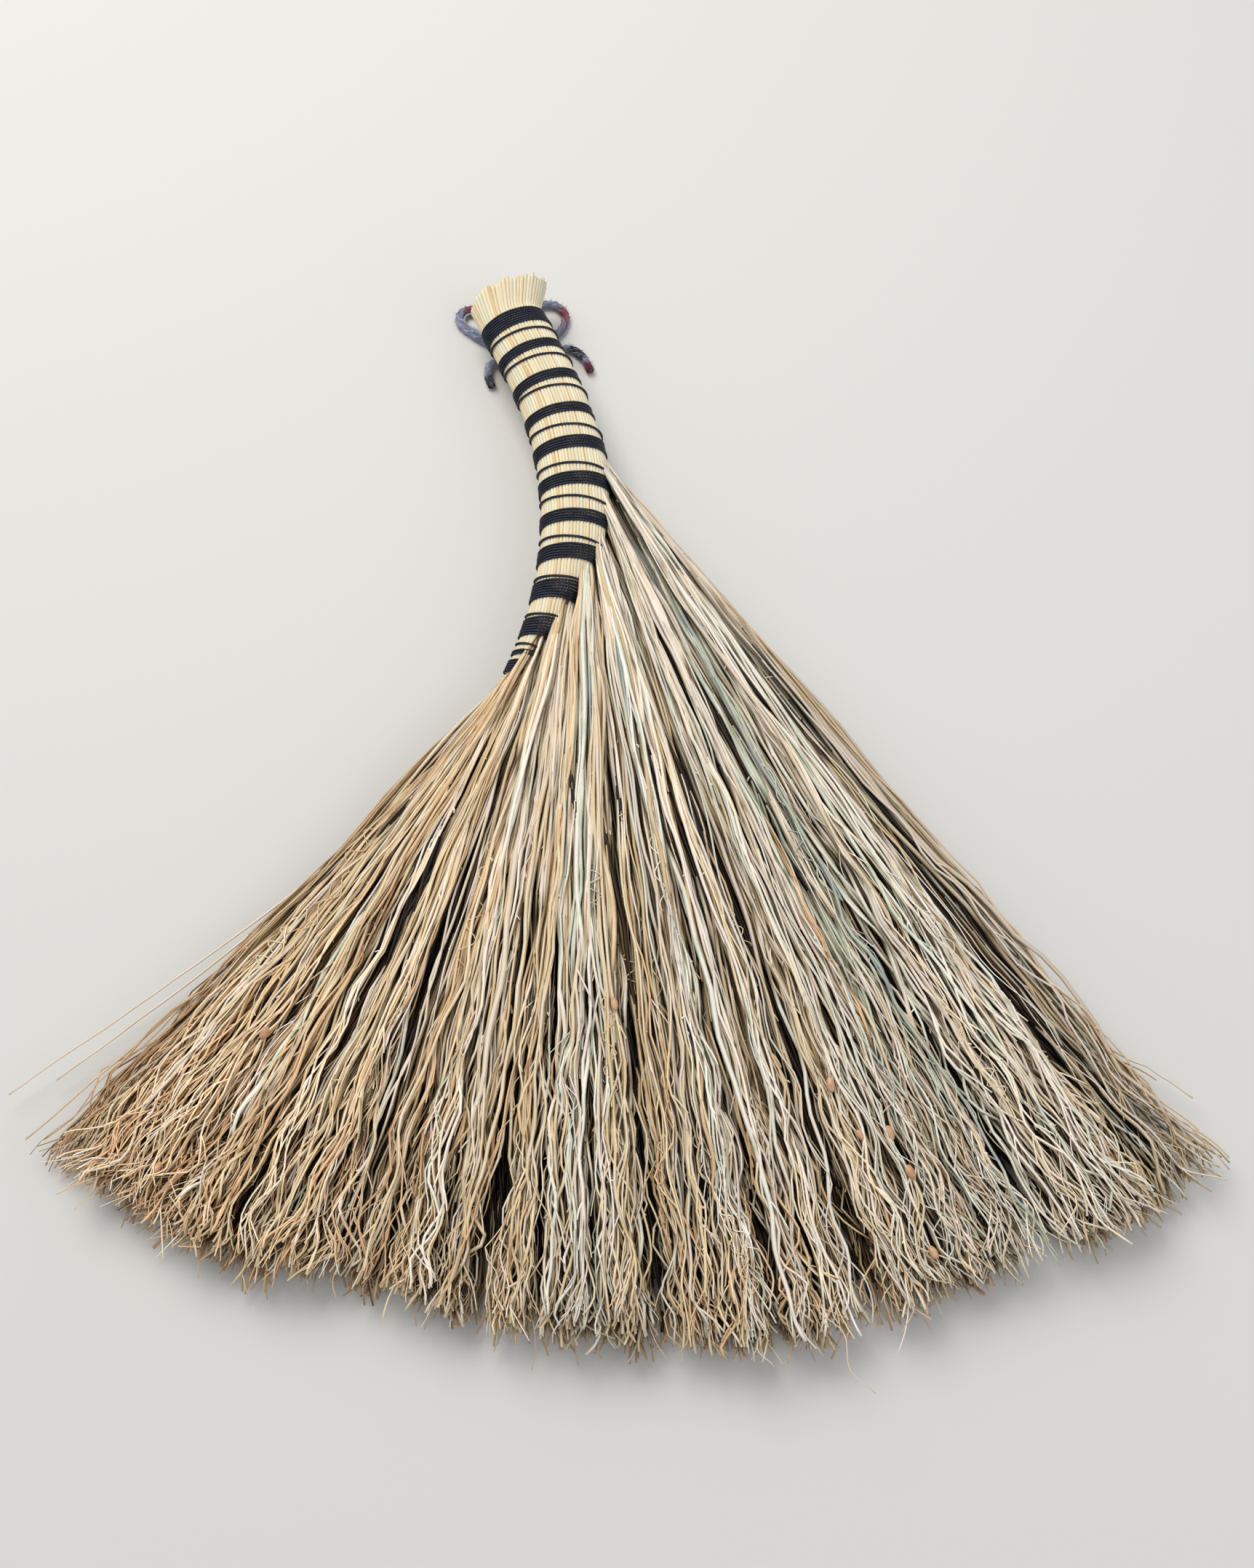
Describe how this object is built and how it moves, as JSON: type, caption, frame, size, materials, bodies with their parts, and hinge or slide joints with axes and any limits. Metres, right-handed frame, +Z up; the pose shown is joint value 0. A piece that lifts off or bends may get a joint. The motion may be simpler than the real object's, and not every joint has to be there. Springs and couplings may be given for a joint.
{
  "type": "hand broom",
  "caption": "Hand broom of bound broomcorn: a bowed handle of stalks wound in bands of dark waxed cord, its bristles spread in a flat fan, with a tied yarn hanger.",
  "frame": {"origin": "on the ground, under the middle of the broom as it lies flat, its yarn loops and tails left out", "axes": "+Z up through the thickness of the fan, +Y towards the cut ends of the handle, -Y towards the bristles' tips, +X towards the side where the bundles leave the handle one by one"},
  "size_m": [0.3665, 0.4048, 0.0271],
  "materials": {
    "stalk": "dried broomcorn stalk, satin and lightly striped",
    "hurl": "dried broomcorn fibre, matt, cream to tan and grey-green",
    "cord": "twisted cord, waxed, navy black",
    "yarn": "soft plied wool, blue, lilac, crimson and charcoal"
  },
  "bodies": {
    "root": {"stalks_1": "stalk", "stalks_2": "stalk", "stalks_3": "stalk", "stalks_4": "stalk", "stalks_5": "stalk", "stalks_6": "stalk", "stalks_7": "stalk", "hurl_1": "hurl", "hurl_2": "hurl", "hurl_3": "hurl", "hurl_4": "hurl", "hurl_5": "hurl", "hurl_6": "hurl", "hurl_7": "hurl", "binding_1": "cord", "binding_2": "cord", "binding_3": "cord", "binding_4": "cord", "binding_5": "cord", "binding_6": "cord", "binding_7": "cord", "binding_8": "cord", "binding_9": "cord", "binding_10": "cord", "binding_11": "cord", "yarn_knot": "yarn"},
    "loop_left": {"yarn_loop_left": "yarn"},
    "loop_right": {"yarn_loop_right": "yarn"},
    "tail_left": {"yarn_tail_left": "yarn"},
    "tail_right": {"yarn_tail_right": "yarn"}
  },
  "joints": [
    {"name": "loop_left_swing", "type": "hinge", "parent": "root", "child": "loop_left", "pos_m": [-0.04024, 0.17557, 0.0019], "axis": [0, 0, 1], "range_deg": [-6, 6]},
    {"name": "loop_right_swing", "type": "hinge", "parent": "root", "child": "loop_right", "pos_m": [-0.04024, 0.17557, 0.0019], "axis": [0, 0, 1], "range_deg": [-3, 6]},
    {"name": "tail_left_swing", "type": "hinge", "parent": "root", "child": "tail_left", "pos_m": [-0.04024, 0.17557, 0.0019], "axis": [0, 0, 1], "range_deg": [-3, 25]},
    {"name": "tail_right_swing", "type": "hinge", "parent": "root", "child": "tail_right", "pos_m": [-0.04024, 0.17557, 0.0019], "axis": [0, 0, 1], "range_deg": [-30, 2]}
  ]
}
